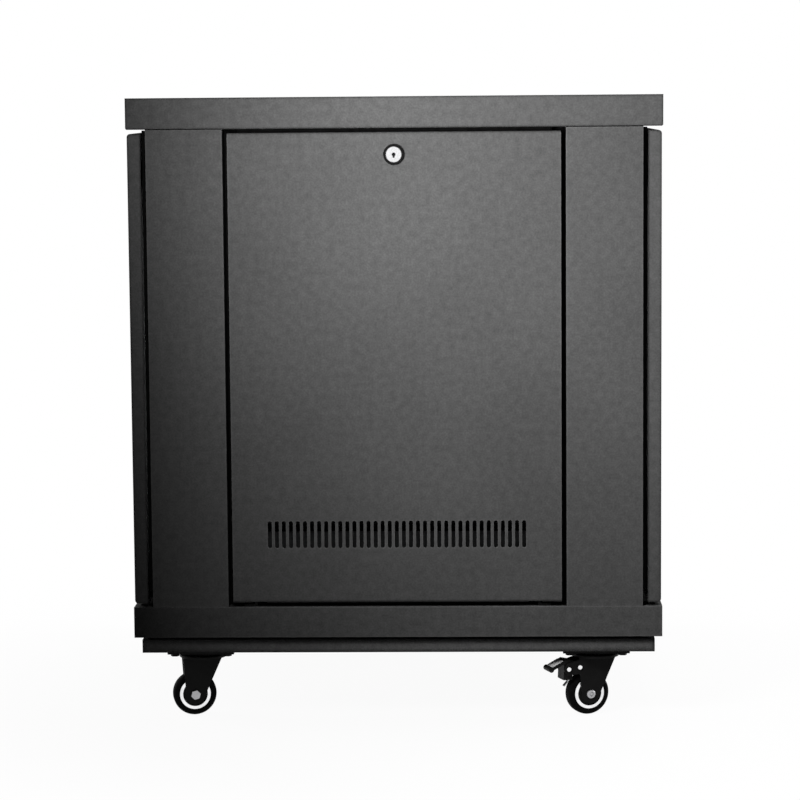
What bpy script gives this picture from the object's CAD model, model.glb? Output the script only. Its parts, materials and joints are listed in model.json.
"""Looks of the network cabinet: camera, light, materials and the fine pieces on the CAD frame."""

import json
import math
import random

import bmesh
import bpy
from mathutils import Matrix, Vector


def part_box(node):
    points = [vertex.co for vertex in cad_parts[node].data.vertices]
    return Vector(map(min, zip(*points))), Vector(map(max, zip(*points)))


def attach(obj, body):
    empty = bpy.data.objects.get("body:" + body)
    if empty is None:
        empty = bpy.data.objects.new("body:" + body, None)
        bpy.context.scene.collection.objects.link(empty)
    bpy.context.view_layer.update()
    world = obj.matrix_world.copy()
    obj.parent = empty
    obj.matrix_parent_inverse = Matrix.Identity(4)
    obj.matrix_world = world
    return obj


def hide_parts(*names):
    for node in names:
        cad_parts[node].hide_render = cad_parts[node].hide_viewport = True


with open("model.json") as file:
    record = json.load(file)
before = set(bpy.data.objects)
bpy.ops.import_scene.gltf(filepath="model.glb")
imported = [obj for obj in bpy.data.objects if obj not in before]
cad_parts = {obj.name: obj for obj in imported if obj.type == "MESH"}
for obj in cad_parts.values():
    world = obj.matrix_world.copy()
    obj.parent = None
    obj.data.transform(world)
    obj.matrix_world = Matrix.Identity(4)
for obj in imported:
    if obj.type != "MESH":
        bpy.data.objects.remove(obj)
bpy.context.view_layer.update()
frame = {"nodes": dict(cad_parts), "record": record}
scene = bpy.context.scene
scene.view_settings.view_transform = "Standard"

JOINTS = {joint["name"]: joint for joint in frame["record"]["behaviour"]["joints"]}
CASTERS = ("rear_left", "rear_right", "front_left", "front_right")
BRAKED = ("rear_right", "front_left")
SIDES = ((-1, "left"), (1, "right"))
RIGHT, FRONT, UP = (Vector(axis) for axis in ((1, 0, 0), (0, 1, 0), (0, 0, 1)))
MM = 0.001


# Shader nodes

WHITE = (1, 1, 1, 1)
# Sockets of a Mix node that mixes colours
MIX_FIRST, MIX_SECOND, MIX_RESULT = 6, 7, 2


def combine(tree, operation, first, second):
    """What a maths operation makes of two sockets."""
    node = tree.nodes.new("ShaderNodeMath")
    node.operation = operation
    tree.links.new(first, node.inputs[0])
    tree.links.new(second, node.inputs[1])
    return node.outputs[0]


def map_range(tree, value, start, end, low, high, easing="LINEAR"):
    """Takes start to low and end to high, and stays there beyond them."""
    node = tree.nodes.new("ShaderNodeMapRange")
    node.interpolation_type = easing
    for socket, number in (("From Min", start), ("From Max", end), ("To Min", low), ("To Max", high)):
        node.inputs[socket].default_value = number
    tree.links.new(value, node.inputs["Value"])
    return node.outputs[0]


def mix_shaders(tree, share, first, second):
    """The first shader where share is 0, the second where it is 1."""
    node = tree.nodes.new("ShaderNodeMixShader")
    for source, socket in zip((share, first, second), node.inputs):
        tree.links.new(source, socket)
    return node.outputs[0]


def seen_rays(tree):
    """1 for rays that show the background: straight, mirrored or through glass."""
    rays = tree.nodes.new("ShaderNodeLightPath").outputs
    straight_or_mirrored = combine(tree, "MAXIMUM", rays["Is Camera Ray"], rays["Is Glossy Ray"])
    return combine(tree, "MAXIMUM", straight_or_mirrored, rays["Is Transmission Ray"])


# Camera, light and stage


def add_object(name, data):
    item = bpy.data.objects.new(name, data)
    scene.collection.objects.link(item)
    return item


def set_camera(place, yaw, pitch, roll, lens):
    """Looks along +Y, turned left by yaw, down by pitch and tilted by roll, all in degrees."""
    data = bpy.data.cameras.new("camera")
    data.sensor_width = 36
    data.lens = lens
    data.clip_end = 50
    yaw, pitch, roll = map(math.radians, (yaw, pitch, roll))
    ahead = Vector((-math.sin(yaw), math.cos(yaw), 0))
    forward = math.cos(pitch) * ahead - math.sin(pitch) * UP
    level = Vector((math.cos(yaw), math.sin(yaw), 0))
    upright = level.cross(forward)
    right = math.cos(roll) * level + math.sin(roll) * upright
    up = math.cos(roll) * upright - math.sin(roll) * level
    camera = add_object("camera", data)
    camera.matrix_world = Matrix.Translation(place) @ Matrix((right, up, -forward)).transposed().to_4x4()
    scene.camera = camera


def area_light(name, place, target, side, power, mirrored=True):
    """A square lamp that the camera doesn't see, and that polished faces show only if it is mirrored."""
    data = bpy.data.lights.new(name, "AREA")
    data.size = side
    data.energy = power
    lamp = add_object(name, data)
    lamp.visible_camera = False
    lamp.visible_glossy = mirrored
    lamp.location = place
    lamp.rotation_euler = (Vector(target) - Vector(place)).to_track_quat("-Z", "Y").to_euler()


def set_world(ambient):
    """White where the background is seen, and faint as a light."""
    world = bpy.data.worlds.new("studio")
    scene.world = world
    world.use_nodes = True
    tree = world.node_tree
    soft = tree.nodes["Background"]
    seen = tree.nodes.new("ShaderNodeBackground")
    for node, strength in ((soft, ambient), (seen, 1)):
        node.inputs["Color"].default_value = WHITE
        node.inputs["Strength"].default_value = strength
    shown = mix_shaders(tree, seen_rays(tree), soft.outputs[0], seen.outputs[0])
    tree.links.new(shown, tree.nodes["World Output"].inputs["Surface"])


def add_floor(half, near, far, lift):
    """A pale floor that keeps a soft shadow near the object, throws little light back and fades to white."""
    seen_tone = (0.9, 0.9, 0.9, 1)
    thrown_tone = (0.12, 0.12, 0.12, 1)
    mesh = bpy.data.meshes.new("floor")
    corners = [(-half, -half, 0), (half, -half, 0), (half, half, 0), (-half, half, 0)]
    mesh.from_pydata(corners, [], [(0, 1, 2, 3)])
    floor = add_object("floor", mesh)
    material = bpy.data.materials.new("pale_floor")
    material.use_nodes = True
    tree = material.node_tree
    paint = tree.nodes["Principled BSDF"]
    tone = tree.nodes.new("ShaderNodeMix")
    tone.data_type = "RGBA"
    tone.inputs[MIX_FIRST].default_value = seen_tone
    tone.inputs[MIX_SECOND].default_value = thrown_tone
    bounced = tree.nodes.new("ShaderNodeLightPath").outputs["Is Diffuse Ray"]
    tree.links.new(bounced, tone.inputs["Factor"])
    tree.links.new(tone.outputs[MIX_RESULT], paint.inputs["Base Color"])
    paint.inputs["Roughness"].default_value = 0.9
    paint.inputs["Specular IOR Level"].default_value = 0
    white = tree.nodes.new("ShaderNodeEmission")
    reach = tree.nodes.new("ShaderNodeVectorMath")
    reach.operation = "LENGTH"
    tree.links.new(tree.nodes.new("ShaderNodeTexCoord").outputs["Object"], reach.inputs[0])
    fade = map_range(tree, reach.outputs["Value"], near, far, lift, 1, easing="SMOOTHSTEP")
    share = combine(tree, "MULTIPLY", fade, seen_rays(tree))
    shown = mix_shaders(tree, share, paint.outputs[0], white.outputs[0])
    tree.links.new(shown, tree.nodes["Material Output"].inputs["Surface"])
    mesh.materials.append(material)


BROAD = 1.4  # The side of a lamp that lights a whole face softly

# The camera is the one that puts the cabinet's corners where the photo has them
set_camera((0.0920, -3.4421, 0.7081), yaw=1.590, pitch=6.177, roll=-0.470, lens=126.36)
set_world(ambient=0.015)
add_floor(half=5, near=0.45, far=0.95, lift=0.95)
# The key stands close to the back and turned to its right, so that its light falls off to the lower left
area_light("key", (-0.12, -0.811, 0.674), (0.902, -0.3, 0.824), side=0.3, power=8.2, mirrored=False)
area_light("top", (0.1, 0.4, 2.2), (0, 0.1, 0.7), side=BROAD, power=20)
area_light("left", (-2.1, 0.5, 1.2), (-0.3, 0, 0.35), side=BROAD, power=28)
area_light("right", (2.1, 0.5, 1.2), (0.3, 0, 0.35), side=BROAD, power=28)
area_light("front", (0.6, 2.4, 1.6), (0, 0.2, 0.4), side=BROAD, power=34)


# Materials


class Paint:
    """A procedural surface that is built up from noise in the piece's own coordinates."""

    def __init__(self, name, metal=0.0, specular=0.5):
        self.material = bpy.data.materials.new(name)
        self.material.use_nodes = True
        self.tree = self.material.node_tree
        self.surface = self.tree.nodes["Principled BSDF"]
        self.surface.inputs["Metallic"].default_value = metal
        self.surface.inputs["Specular IOR Level"].default_value = specular
        self.where = self.tree.nodes.new("ShaderNodeTexCoord").outputs["Object"]

    def link(self, source, target):
        self.tree.links.new(source, target)

    def noise(self, grains, detail=3.0, stretch=(1, 1, 1)):
        """Noise between 0 and 1, with this many grains to the metre."""
        mapping = self.tree.nodes.new("ShaderNodeMapping")
        mapping.inputs["Scale"].default_value = stretch
        self.link(self.where, mapping.inputs["Vector"])
        noise = self.tree.nodes.new("ShaderNodeTexNoise")
        noise.inputs["Scale"].default_value = grains
        noise.inputs["Detail"].default_value = detail
        self.link(mapping.outputs[0], noise.inputs["Vector"])
        return noise.outputs["Fac"]

    def spread(self, value, low, high, start=0.3, end=0.7):
        """Maps the middle of a noise to a range."""
        return map_range(self.tree, value, start, end, low, high)

    def product(self, first, *others):
        for other in others:
            first = combine(self.tree, "MULTIPLY", first, other)
        return first

    def colour(self, base, factor):
        """Paints the base colour times a varying factor, and returns that tint."""
        shade = self.tree.nodes.new("ShaderNodeMix")
        shade.data_type = "RGBA"
        shade.blend_type = "MULTIPLY"
        shade.inputs["Factor"].default_value = 1
        shade.inputs[MIX_FIRST].default_value = (*base, 1)
        self.link(factor, shade.inputs[MIX_SECOND])
        tint = shade.outputs[MIX_RESULT]
        self.link(tint, self.surface.inputs["Base Color"])
        return tint

    def rough(self, value):
        self.link(value, self.surface.inputs["Roughness"])

    def relief(self, height, strength, depth, round_edge):
        """Bump of a depth in metres, over edges that are rounded by a radius."""
        bump = self.tree.nodes.new("ShaderNodeBump")
        bump.inputs["Strength"].default_value = strength
        bump.inputs["Distance"].default_value = depth
        self.link(height, bump.inputs["Height"])
        self.link(self.edge(round_edge), bump.inputs["Normal"])
        self.link(bump.outputs[0], self.surface.inputs["Normal"])

    def edge(self, radius):
        bevel = self.tree.nodes.new("ShaderNodeBevel")
        bevel.samples = 6
        bevel.inputs["Radius"].default_value = radius
        return bevel.outputs[0]

    def edge_wear(self, radius, gain):
        """1 on flat faces, going to 1 + gain along edges."""
        flat = self.tree.nodes.new("ShaderNodeNewGeometry").outputs["Normal"]
        dot = self.tree.nodes.new("ShaderNodeVectorMath")
        dot.operation = "DOT_PRODUCT"
        self.link(self.edge(radius), dot.inputs[0])
        self.link(flat, dot.inputs[1])
        return self.spread(dot.outputs["Value"], 1 + gain, 1, start=0.88, end=0.995)

    def crevice(self, reach, low):
        """1 in the open, falling to low in narrow gaps, where powder and plating come out thin and dull."""
        hidden = self.tree.nodes.new("ShaderNodeAmbientOcclusion")
        hidden.samples = 8
        hidden.inputs["Distance"].default_value = reach
        return self.spread(hidden.outputs["AO"], low, 1, start=0.15, end=0.5)


def grey(level):
    return (level, level, level)


def powder_coat(name, base, radius, gain, gap=14 * MM, sheen=0.05):
    """Matt powder on sheet steel, lighter or darker along its edges by gain and dark in narrow gaps."""
    paint = Paint(name, specular=sheen)
    clouds = paint.spread(paint.noise(120, detail=5), 0.87, 1.13)
    patches = paint.spread(paint.noise(6), 0.93, 1.07)
    specks = paint.spread(paint.noise(480, detail=2), 0.88, 1.12)
    edges = paint.edge_wear(radius, gain)
    paint.colour(base, paint.product(clouds, patches, specks, edges, paint.crevice(gap, 0.1)))
    paint.rough(paint.spread(paint.noise(160, detail=2), 0.44, 0.6))
    paint.relief(paint.noise(900, detail=2), strength=0.35, depth=0.25 * MM, round_edge=0.9 * MM)
    return paint.material


def satin_black(name, base, specular, rough, grains, depth):
    """Smooth black paint or moulded plastic, a little lighter along its edges."""
    paint = Paint(name, specular=specular)
    clouds = paint.spread(paint.noise(90), 0.8, 1.2)
    paint.colour(base, paint.product(clouds, paint.edge_wear(0.7 * MM, gain=0.6)))
    paint.rough(paint.spread(paint.noise(220), rough - 0.06, rough + 0.08))
    paint.relief(paint.noise(grains), strength=0.3, depth=depth, round_edge=0.6 * MM)
    return paint.material


def plated(name, base, rough, streak=(1, 1, 1), round_edge=0.5 * MM, dark_edge=0.0):
    """Bright plating: faint clouding, fine streaks along the rolled length and softened edges."""
    paint = Paint(name, metal=1.0)
    clouds = paint.spread(paint.noise(45, detail=4), 0.86, 1.06)
    lines = paint.spread(paint.noise(500, detail=2, stretch=streak), 0.93, 1.05)
    tone = paint.product(paint.crevice(10 * MM, 0.15), clouds, lines)
    if dark_edge:
        tone = paint.product(tone, paint.edge_wear(dark_edge, gain=-0.92))
    paint.colour(base, tone)
    paint.rough(paint.spread(paint.noise(130, stretch=streak), rough - 0.05, rough + 0.09))
    grain = paint.noise(700, detail=2, stretch=streak)
    paint.relief(grain, strength=0.12, depth=0.08 * MM, round_edge=round_edge)
    return paint.material


def rubber(name, base):
    paint = Paint(name, specular=0.04)
    paint.colour(base, paint.spread(paint.noise(140, detail=4), 0.7, 1.35))
    paint.rough(paint.spread(paint.noise(300), 0.62, 0.82))
    paint.relief(paint.noise(1400), strength=0.4, depth=0.12 * MM, round_edge=0.4 * MM)
    return paint.material


def pale_nylon(name, base):
    paint = Paint(name, specular=0.4)
    paint.colour(base, paint.spread(paint.noise(60, detail=4), 0.93, 1.03))
    paint.rough(paint.spread(paint.noise(260), 0.32, 0.46))
    paint.relief(paint.noise(800, detail=2), strength=0.15, depth=0.08 * MM, round_edge=0.4 * MM)
    return paint.material


def smoked_glass(name, base):
    """Dark glass that also lets the lamps through to what is behind it."""
    paint = Paint(name)
    paint.surface.inputs["Roughness"].default_value = 0
    paint.surface.inputs["Transmission Weight"].default_value = 1
    paint.surface.inputs["IOR"].default_value = 1.22
    tint = paint.colour(base, paint.spread(paint.noise(3, detail=2), 0.96, 1.02))
    clear = paint.tree.nodes.new("ShaderNodeBsdfTransparent")
    paint.link(tint, clear.inputs["Color"])
    rays = paint.tree.nodes.new("ShaderNodeLightPath").outputs
    lit = combine(paint.tree, "MAXIMUM", rays["Is Shadow Ray"], rays["Is Diffuse Ray"])
    shown = mix_shaders(paint.tree, lit, paint.surface.outputs[0], clear.outputs[0])
    paint.link(shown, paint.tree.nodes["Material Output"].inputs["Surface"])
    return paint.material


POWDER = grey(0.1)
POWDER_EDGE = 2.8 * MM
CHROME = (0.93, 0.93, 0.94)
CHROME_ROUGH = 0.12
CHROME_EDGE = 0.35 * MM
FINISH = {
    "powder_black": powder_coat("powder_black", POWDER, POWDER_EDGE, gain=0.4),
    "caster_black": satin_black(
        "caster_black", grey(0.012), specular=0.06, rough=0.42, grains=600, depth=0.12 * MM),
    "black_plastic": satin_black(
        "black_plastic", grey(0.008), specular=0.04, rough=0.45, grains=900, depth=0.06 * MM),
    "zinc_rail": plated("zinc_rail", (0.62, 0.63, 0.64), rough=0.34, streak=(1, 1, 0.06)),
    "zinc": plated("zinc", (0.4, 0.4, 0.41), rough=0.3),
    "chrome": plated("chrome", CHROME, CHROME_ROUGH, round_edge=CHROME_EDGE),
    "tyre": rubber("tyre", grey(0.006)),
    "rim": pale_nylon("rim", grey(0.82)),
    "smoked_glass": smoked_glass("smoked_glass", (0.4, 0.405, 0.41)),
    "brass": plated("brass", (0.72, 0.55, 0.24), rough=0.3),
}
# The outer sheets' bends and the lock cores' rims turn away from the light, and show as dark lines
OUTER = powder_coat("powder_black_outer", POWDER, 3.6 * MM, gain=-0.75)
CORE = plated("lock_chrome", CHROME, CHROME_ROUGH, round_edge=CHROME_EDGE, dark_edge=1.5 * MM)
OWN_FINISH = dict.fromkeys(("top_cover", "left_panel", "right_panel"), OUTER)
OWN_FINISH |= dict.fromkeys(("rear_lock_core", "door_lock_core", "left_latch_core", "right_latch_core"), CORE)
# The base has no sheen, so that its deck doesn't shine through the vent slots
OWN_FINISH["base_frame"] = powder_coat("powder_black_base", grey(0.108), POWDER_EDGE, gain=0.5, sheen=0.0)
OWN_FINISH["plinth"] = powder_coat("powder_black_plinth", grey(0.135), 7 * MM, gain=-0.95, gap=3 * MM)
for part in frame["record"]["subparts"]:
    mesh = frame["nodes"][part["node"]].data
    mesh.materials.clear()
    mesh.materials.append(OWN_FINISH.get(part["node"], FINISH[part["material_slot"]]))


# Shapes, with outlines and sizes in mm

FULL_TURN = 48  # Steps in a circle
SHARP = math.radians(38)  # Faces that turn by more than this have a sharp edge between them


def add_piece(name, shape, slot, body):
    """Finishes a mesh, gives it a slot's material and seats it on a body."""
    bmesh.ops.recalc_face_normals(shape, faces=shape.faces)
    mesh = bpy.data.meshes.new(name)
    shape.to_mesh(mesh)
    shape.free()
    mesh.materials.append(FINISH[slot])
    mesh.polygons.foreach_set("use_smooth", [True] * len(mesh.polygons))
    piece = add_object(name, mesh)
    piece.modifiers.new("edges", "EDGE_SPLIT").split_angle = SHARP
    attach(piece, body)
    return piece


def loft(shape, rings, closed=False):
    """Skins rings of points in turn, into a closed tube or between two end faces."""
    rows = [[shape.verts.new(point) for point in ring] for ring in rings]
    for here, there in zip(rows, rows[1:] + rows[:1] if closed else rows[1:]):
        for i in range(len(here)):
            after = (i + 1) % len(here)
            shape.faces.new((here[i], here[after], there[after], there[i]))
    if not closed:
        shape.faces.new(rows[0])
        shape.faces.new(rows[-1])


def circle(place, axis, radius, height, steps=FULL_TURN):
    """A ring about an axis, all in metres, where the radius may be a function of the angle."""
    axis = Vector(axis).normalized()
    side = axis.orthogonal().normalized()
    other = axis.cross(side)
    points = []
    for i in range(steps):
        angle = 2 * math.pi * i / steps
        reach = radius(angle) if callable(radius) else radius
        spoke = math.cos(angle) * side + math.sin(angle) * other
        points.append(Vector(place) + reach * spoke + height * axis)
    return points


def turn(shape, profile, place, axis, closed=False, steps=FULL_TURN):
    """Turns an outline of radius and distance along the axis."""
    rings = [circle(place, axis, radius * MM, height * MM, steps) for radius, height in profile]
    loft(shape, rings, closed)


def arc(centre, radius, start, end, steps=5):
    """Points of an arc in an outline, angles in degrees."""
    angles = (math.radians(start + (end - start) * i / steps) for i in range(steps + 1))
    x, y = centre
    return [(x + radius * math.cos(angle), y + radius * math.sin(angle)) for angle in angles]


def hexagon(shape, place, axis, corner, height, bore=0.0):
    """A hexagon nut or bolt head with the scalloped chamfer of a turned one and a washer face."""
    axis = Vector(axis).normalized()
    flat = corner * math.cos(math.pi / 6)
    washer_in, washer_up = 0.2, 0.3
    top_in, chamfer_slope, chamfer_drop = 0.35, 0.6, 0.15
    bore_chamfer = 0.4
    dish_in, dish_wall, dish_deep = 1.3, 0.5, 0.25

    def side(angle):
        return flat / math.cos((angle + math.pi / 6) % (math.pi / 3) - math.pi / 6) * MM

    def shoulder(angle):
        return (height - chamfer_slope * (side(angle) / MM - flat) - chamfer_drop) * MM

    def ring(radius, up):
        return circle(place, axis, radius * MM, up * MM)

    foot = circle(place, axis, side, 0)
    rings = [ring(flat - washer_in, 0), ring(flat - washer_in, washer_up)]
    rings.append(circle(place, axis, side, washer_up * MM))
    rings.append([point + shoulder(2 * math.pi * i / len(foot)) * axis for i, point in enumerate(foot)])
    rings.append(ring(flat - top_in, height))
    if bore:
        rings += [ring(bore + bore_chamfer, height), ring(bore, height - bore_chamfer), ring(bore, 0)]
    else:
        rings += [ring(flat - dish_in, height), ring(flat - dish_in - dish_wall, height - dish_deep)]
    loft(shape, rings, bool(bore))


def strip(name, slot, section, start, end, wide, tall):
    """A straight strip on the cabinet, its section given along the directions wide and tall."""
    start, end = map(Vector, (start, end))
    shape = bmesh.new()
    steps = 40
    rings = []
    for i in range(steps + 1):
        on = start.lerp(end, i / steps)
        rings.append([(on + u * wide + v * tall) * MM for u, v in section])
    loft(shape, rings)
    add_piece(name, shape, slot, "cabinet")


# Casters

FORK_FACE = 11.7  # The fork's outer faces from its middle
RACE_UP = 72.8  # The middle of the swivel race above the floor
BRAKE_RIVETS = ((37.5, 55.5), (24, 57))  # Back from the swivel's axis, and above the floor


class Caster:
    """A caster's own axes at rest: along its trail, across along its axle, and up."""

    def __init__(self, name):
        self.name = name
        swivel, roll = JOINTS[f"{name}_swivel_turn"], JOINTS[f"{name}_wheel_roll"]
        self.foot = Vector((*swivel["pos_m"][:2], 0))
        self.hub = Vector(roll["pos_m"])
        self.across = Vector(roll["axis"])
        trail = self.hub - self.foot
        trail.z = 0
        self.along = trail.normalized()

    def at(self, back, side, up):
        """A place in metres, from mm back along the trail, to a side and above the floor."""
        return self.foot + MM * (back * self.along + side * self.across + up * UP)


def wheel_rings(caster, name, slot, profile):
    """The same turned ring on both faces of a wheel, its outline measured from the wheel's middle."""
    for tag, side in (("a", 1), ("b", -1)):
        shape = bmesh.new()
        turn(shape, profile, caster.hub, side * caster.across, closed=True)
        add_piece(f"{caster.name}_{name}_{tag}", shape, slot, f"{caster.name}_roll")


def hub_covers(caster):
    """The dark thread guards that fill the wheel inside its pale rim."""
    bore, edge, back, face, dish = 3.6, 13.75, 3.6, 8.6, 8.4
    bend = arc((12.6, 6.9), 1.1, 80, 0)
    profile = [(bore, back), (bore, face), (dish, face), *bend, (edge, back)]
    wheel_rings(caster, "hub_cover", "caster_black", profile)


def rim_rings(caster):
    """The bright pressed rings that show between tyre and thread guard."""
    inner, outer, back, face = 13.9, 17.9, 6.0, 8.3
    inner_bend = arc((14.5, face), 0.5, 150, 60, 3)
    outer_bend = arc((17.3, 7.75), 0.6, 80, 0, 4)
    profile = [(inner, back), (inner, face), *inner_bend, (17.2, 8.35), *outer_bend, (outer, back)]
    wheel_rings(caster, "rim_ring", "chrome", profile)


def axle(caster):
    """The axle bolt with a chamfered head, or a domed one with a dimple on a braked caster, and its nut."""
    radius, chamfer, root, past = 3, 0.6, 0.2, 1.5
    head_corner, head_height, thread_fit = 5.6, 4, 0.02
    shape = bmesh.new()
    head = caster.hub - FORK_FACE * MM * caster.across
    if caster.name in BRAKED:
        dimple = [(2.6, 3.2), (2.1, 2.6), (1.6, 1.9)]
        dome = [(5.4, 0), (5.4, 0.9), *arc((2.9, 0.7), 2.5, 10, 75), *dimple]
        turn(shape, dome, head, -caster.across)
    else:
        hexagon(shape, head, -caster.across, head_corner, head_height)
    end = 2 * FORK_FACE + head_height + past
    turn(shape, [(radius, -root), (radius, end - chamfer), (radius - chamfer, end)], head, caster.across)
    seat = caster.hub + FORK_FACE * MM * caster.across
    hexagon(shape, seat, caster.across, head_corner, head_height, bore=radius + thread_fit)
    bolt = add_piece(f"{caster.name}_axle_bolt", shape, "zinc", f"{caster.name}_swivel")
    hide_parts(f"{caster.name}_axle")


def swivel_balls(caster):
    """The steel balls deep in the slit between plate and crown, in their dark cage."""
    count, ball, track = 26, 1.7, 20.6
    cage_in, cage_out, cage_half = 20.4, 22.6, 0.5
    shape = bmesh.new()
    for point in circle(caster.foot, UP, track * MM, RACE_UP * MM, count):
        bmesh.ops.create_icosphere(shape, subdivisions=2, radius=ball * MM, matrix=Matrix.Translation(point))
    add_piece(f"{caster.name}_swivel_balls", shape, "zinc", f"{caster.name}_swivel")
    low, high = RACE_UP - cage_half, RACE_UP + cage_half
    rim = arc((cage_out, RACE_UP), cage_half, -60, 60, 4)
    shape = bmesh.new()
    turn(shape, [(cage_in, low), (cage_out, low), *rim, (cage_in, high)], caster.foot, UP, closed=True)
    add_piece(f"{caster.name}_swivel_cage", shape, "caster_black", f"{caster.name}_swivel")


def brake_rivets(caster):
    """Bright domed ends in the dark heads of the rivets on the brake's ears."""
    radius, root, rise = 2.7, 1.1, 1.3
    dome = [(radius, root), (radius, rise), *arc((0, -2.8), 5, 59.3, 86)]
    clear = 0.02
    shape = bmesh.new()
    for back, up in BRAKE_RIVETS:
        for side in (-1, 1):
            turn(shape, dome, caster.at(back, side * (FORK_FACE + clear), up), side * caster.across, steps=32)
    add_piece(f"{caster.name}_rivet_heads", shape, "chrome", f"{caster.name}_swivel")


def pedal_tread(caster):
    """A pale ribbed tread on the pedal, from its toe to its knee in the caster's side view."""
    toe, knee = Vector((57.2, 57.8)), Vector((43.5, 64.5))
    half_width, toe_in, toe_steps = 8.2, 1.6, 6
    root, thick, edge_in = 0.3, 0.5, 0.5
    ribs, rib_height, steps = 5, 0.35, 24
    run = (knee - toe).normalized()
    normal = Vector((run.y, -run.x))
    rings = []
    for i in range(steps + 1):
        on = toe.lerp(knee, i / steps)
        rib = rib_height * (0.5 - 0.5 * math.cos(2 * math.pi * ribs * i / steps))
        half = half_width - toe_in * (1 - min(1, i / toe_steps)) ** 2
        low = on - root * normal
        high = on + (thick + rib) * normal
        rings.append([caster.at(low.x, -half, low.y), caster.at(high.x, -half + edge_in, high.y),
                      caster.at(high.x, half - edge_in, high.y), caster.at(low.x, half, low.y)])
    shape = bmesh.new()
    loft(shape, rings)
    add_piece(f"{caster.name}_pedal_tread", shape, "rim", f"{caster.name}_brake")


for caster in map(Caster, CASTERS):
    hub_covers(caster)
    rim_rings(caster)
    axle(caster)
    swivel_balls(caster)
    if caster.name in BRAKED:
        brake_rivets(caster)
        pedal_tread(caster)


# Locks and door


def keyway(lock, body):
    """The dark bottom of a lock's keyhole: a round lobe over a slot, just below the core's face."""
    lobe, slot_half, slot_end = 1.72, 0.72, 3.32
    slot_top, corner, corner_half = 1.6, 3.1, 0.4
    deep, shallow, lip = 2.9, 0.9, 0.75
    lip_scale = 0.9
    joint = JOINTS[f"{body}_turn"]
    place, out = Vector(joint["pos_m"]), Vector(joint["axis"])
    right = UP.cross(out)
    face = max((Vector(point) - place).dot(out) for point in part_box(f"{lock}_core")) / MM
    left_half = [(-slot_half, -slot_top), (-slot_half, -corner), (-corner_half, -slot_end)]
    right_half = [(-x, y) for x, y in reversed(left_half)]
    outline = [*arc((0, 0), lobe, -58, 238, 24), *left_half, *right_half]
    rings = []
    for scale, height in ((1, face - deep), (1, face - shallow), (lip_scale, face - lip)):
        rings.append([place + MM * (scale * (x * right + y * UP) + height * out) for x, y in outline])
    shape = bmesh.new()
    loft(shape, rings)
    add_piece(f"{lock}_keyway", shape, "black_plastic", body)


def door_gasket():
    """A soft lip round the door's window, from the glass to just proud of the frame's sheet."""
    glass_lap, glass_gap = 10, 0.1
    low, high = (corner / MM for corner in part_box("door_glass"))
    half, bottom, top = high.x - glass_lap, low.z + glass_lap, high.z - glass_lap
    back, face = high.y - glass_gap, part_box("door_frame")[1].y / MM
    inner, outer, lip, bead, slope = 1.4, 1.0, 1.7, 0.5, 0.2
    section = [(-inner, back), (outer, back), (outer, face - slope), (lip, face)]
    section += [*arc((lip - bead, face + bead), bead, 0, 180, 6), (-inner, face)]
    rings = []
    for across, z, upward in ((1, bottom, -1), (1, top, 1), (-1, top, 1), (-1, bottom, -1)):
        rings.append([Vector((across * (half + out), y, z + upward * out)) * MM for out, y in section])
    shape = bmesh.new()
    loft(shape, rings, closed=True)
    add_piece("door_gasket", shape, "black_plastic", "door")


for lock, body in (("rear_lock", "back_lock"), ("door_lock", "door_lock")):
    keyway(lock, body)
for latch in ("left_latch", "right_latch"):
    keyway(latch, latch)
door_gasket()


# Cabinet: seals, brush and earth nut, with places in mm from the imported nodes


def span(node, axis):
    """How far a node goes along an axis, 0 for x to 2 for z."""
    low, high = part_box(node)
    return low[axis] / MM, high[axis] / MM


RUBBER = "tyre"  # The slot whose finish is black rubber
BURIED = 0.05  # How deep a strip's root sits in what carries it
SHEET = 1.5  # Thickness of the posts' steel
POST_FACE = 86  # Width of the rear posts' faces
DECK = span("base_frame", 2)[1]
ROOF = span("top_cover", 2)[0]
STOP_IN, POST_OUT = span("rear_right_post", 0)
POST_IN = POST_OUT - POST_FACE
REAR_FACE, REAR_INSIDE = span("rear_right_post", 1)
FRONT_IN = span("front_right_post", 0)[0]
FRONT_FACE = span("front_right_post", 1)[1]
PANEL_BACK = span("rear_panel", 1)[1]


def lip_section(thick, tall):
    """A thin upright lip with a round top."""
    return [(0, 0), (thick, 0), (thick, tall), *arc((thick / 2, tall), thick / 2, 0, 180, 4)]


COVER_LIP = lip_section(thick=0.9, tall=8.6)


def rear_seals():
    """Foam angles at the rear posts, a wall on the sill and a lip under the cover, behind the back panel."""
    foot, corner, rise, fillet, fin, tall = 15, 1.5, 1.6, 1.6, 0.6, 25.4
    angle = [(0, 0), (foot, 0), (foot, rise), *arc((foot - corner, rise), corner, 0, 90, 4)]
    angle += arc((fin + fillet, rise + corner + fillet), fillet, -90, -180, 4)
    angle += [(fin, tall), *arc((fin / 2, tall), fin / 2, 0, 180, 4)]
    end_gap, wall_gap, wall_behind, lip_behind = 1, 1.2, 2.6, 1.8
    y = REAR_INSIDE - SHEET - BURIED
    for side, name in SIDES:
        x = side * (POST_IN - BURIED)
        start, end = (x, y, DECK + end_gap), (x, y, ROOF - end_gap)
        strip(f"rear_{name}_seal", RUBBER, angle, start, end, wide=-side * RIGHT, tall=-FRONT)
    half, y, z = POST_IN - wall_gap, PANEL_BACK + wall_behind, DECK - BURIED
    wall = lip_section(thick=1.4, tall=16)
    strip("rear_sill_seal", RUBBER, wall, (-half, y, z), (half, y, z), wide=FRONT, tall=UP)
    y, z = PANEL_BACK + lip_behind, ROOF - BURIED
    strip("rear_top_seal", RUBBER, COVER_LIP, (-STOP_IN, y, z), (STOP_IN, y, z), wide=-FRONT, tall=-UP)


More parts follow.
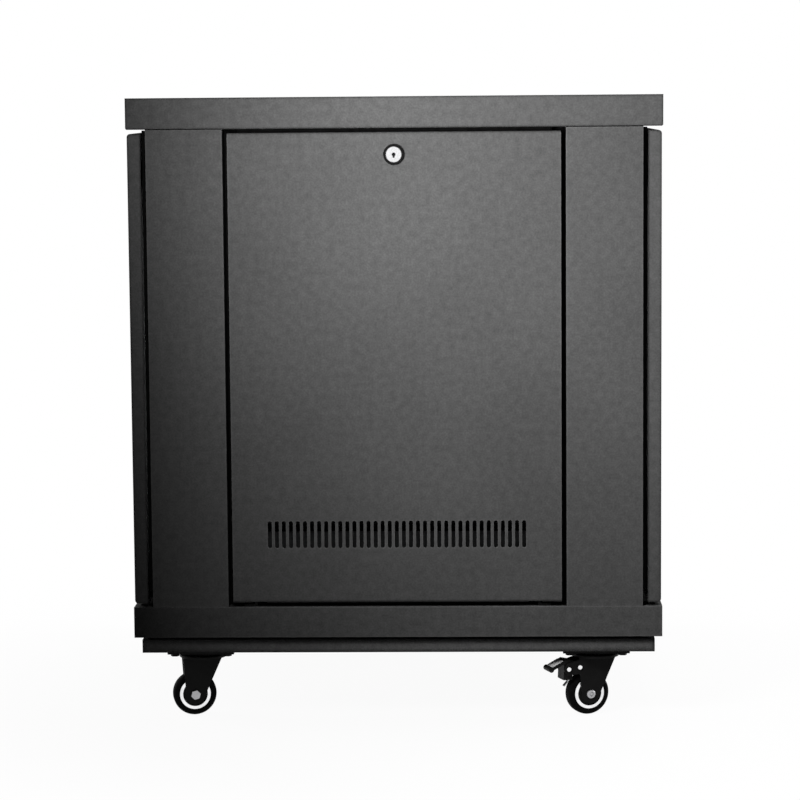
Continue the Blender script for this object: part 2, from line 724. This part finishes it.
def side_seals():
    """Foam pads beside the side panels, and lips under the cover that leave room for the latches' strikes."""
    thick, width, corner = 4.8, 9, 1.5
    pad = [(0, 0), *arc((thick - corner, corner), corner, -90, 0, 4)]
    pad += [*arc((thick - corner, width - corner), corner, 0, 90, 4), (0, width)]
    set_back, above_pivots, below_cover = 7, 18, 1
    strike_gap, post_gap, lip_out = 0.5, 2, 1
    latch = JOINTS["left_latch_turn"]["pos_m"][1] / MM
    strike_front = span("lock_strikes", 1)[1]
    strike_rear = 2 * latch - strike_front
    runs = (("rear", REAR_INSIDE + post_gap, strike_rear - strike_gap),
            ("front", strike_front + strike_gap, FRONT_FACE - post_gap))
    for side, name in SIDES:
        x, y = side * (POST_OUT - BURIED), REAR_FACE + set_back
        start, end = (x, y, DECK + above_pivots), (x, y, ROOF - below_cover)
        strip(f"{name}_side_seal", RUBBER, pad, start, end, wide=side * RIGHT, tall=FRONT)
        x, z = side * (POST_OUT + lip_out), ROOF - BURIED
        for tag, low, high in runs:
            start, end = (x, low, z), (x, high, z)
            strip(f"{name}_{tag}_top_seal", RUBBER, COVER_LIP, start, end, wide=side * RIGHT, tall=-UP)


def cover_joints():
    """The dark seam between the rear posts' faces and the cover."""
    half, root, radius, sunk, end_gap = 0.55, 0.1, 0.6, 0.3, 0.2
    bead = [(-half, -root), *arc((0, -sunk), radius, 155, 25, 6), (half, -root)]
    for side, name in SIDES:
        start = (side * (POST_IN + end_gap), REAR_FACE, ROOF)
        end = (side * (POST_OUT - end_gap), REAR_FACE, ROOF)
        strip(f"{name}_cover_joint", RUBBER, bead, start, end, wide=UP, tall=-FRONT)


def front_seals():
    """A bead on the sill and bulbs on the front posts that the door closes on."""
    half, stretch, sill_gap, set_back = 4, 1.25, 1, 8
    bead = [(-half, 0), (-half, half), *arc((0, half), half, 170, 10, 8), (half, half), (half, 0)]
    bead = [(u, v * stretch) for u, v in bead]
    x, y, z = FRONT_IN - sill_gap, FRONT_FACE - set_back, DECK - 2 * BURIED
    strip("front_sill_seal", RUBBER, bead, (-x, y, z), (x, y, z), wide=FRONT, tall=UP)
    radius, centre, foot, end_gap, inset = 6, 5, 2, 8, 16
    round_side = arc((0, centre), radius, 200, -20, 10)
    bulb = [(-radius, 0), (-radius, foot), *round_side, (radius, foot), (radius, 0)]
    for side, name in SIDES:
        x, y = side * (POST_OUT - inset), FRONT_FACE - BURIED
        start, end = (x, y, DECK + end_gap), (x, y, ROOF - end_gap)
        strip(f"front_{name}_seal", RUBBER, bulb, start, end, wide=RIGHT, tall=FRONT)


def entry_brush(half_width, middle, half_depth):
    """Two rows of bristles in holders that close the cable entry in the base deck."""
    lap, width, tall, corner = 1, 6, 1.6, 1
    holder = [(-lap, -BURIED), (-lap, tall), *arc((0, tall), corner, 170, 90, 3)]
    holder += [*arc((width - corner, tall), corner, 90, 10, 3), (width, tall), (width, -BURIED)]
    count, end_gap, rooted, above_deck, thin = 170, 1, 0.5, 0.9, 0.35
    chance = random.Random(5)
    bristles = bmesh.new()
    for side, name in ((-1, "rear"), (1, "front")):
        edge = middle + side * half_depth
        start, end = (-half_width, edge, DECK), (half_width, edge, DECK)
        strip(f"entry_brush_{name}_holder", "black_plastic", holder, start, end, wide=side * FRONT, tall=UP)
        for i in range(count):
            x = (half_width - end_gap) * (2 * i / (count - 1) - 1)
            lean = chance.uniform(-1.5, 1.5)
            droop = chance.uniform(0.2, 1.6)
            past = chance.uniform(0, 3)
            rings = []
            for share, half in ((0, 0.95), (0.5, 0.9), (1, 0.45)):
                y = edge + side * (rooted - share * (half_depth + past))
                on = Vector((x + lean * share, y, DECK + above_deck - droop * share * share))
                offsets = (-half * RIGHT, -thin * UP, half * RIGHT, thin * UP)
                rings.append([(on + offset) * MM for offset in offsets])
            loft(bristles, rings)
    add_piece("entry_brush_bristles", bristles, RUBBER, "cabinet")


def earth_nut():
    """Two washers and a nut on the earth stud."""
    bore, radius, thick, chamfer = 3.1, 6.7, 1.2, 0.3
    first, gap, washers = 6.0, 0.1, 2
    low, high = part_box("earth_stud")
    foot = Vector(((low.x + high.x) / 2, (low.y + high.y) / 2, low.z))
    shape = bmesh.new()
    height = first
    for _ in range(washers):
        top = height + thick
        washer = [(bore, height), (radius - chamfer, height), (radius, height + chamfer)]
        washer += [(radius, top - chamfer), (radius - chamfer, top), (bore, top)]
        turn(shape, washer, foot, UP, closed=True)
        height = top + gap
    hexagon(shape, foot + height * MM * UP, UP, corner=5.8, height=5, bore=3.05)
    add_piece("earth_nut", shape, "brass", "cabinet")


earth_nut()
rear_seals()
side_seals()
cover_joints()
front_seals()
entry_brush(half_width=120, middle=-200, half_depth=40)
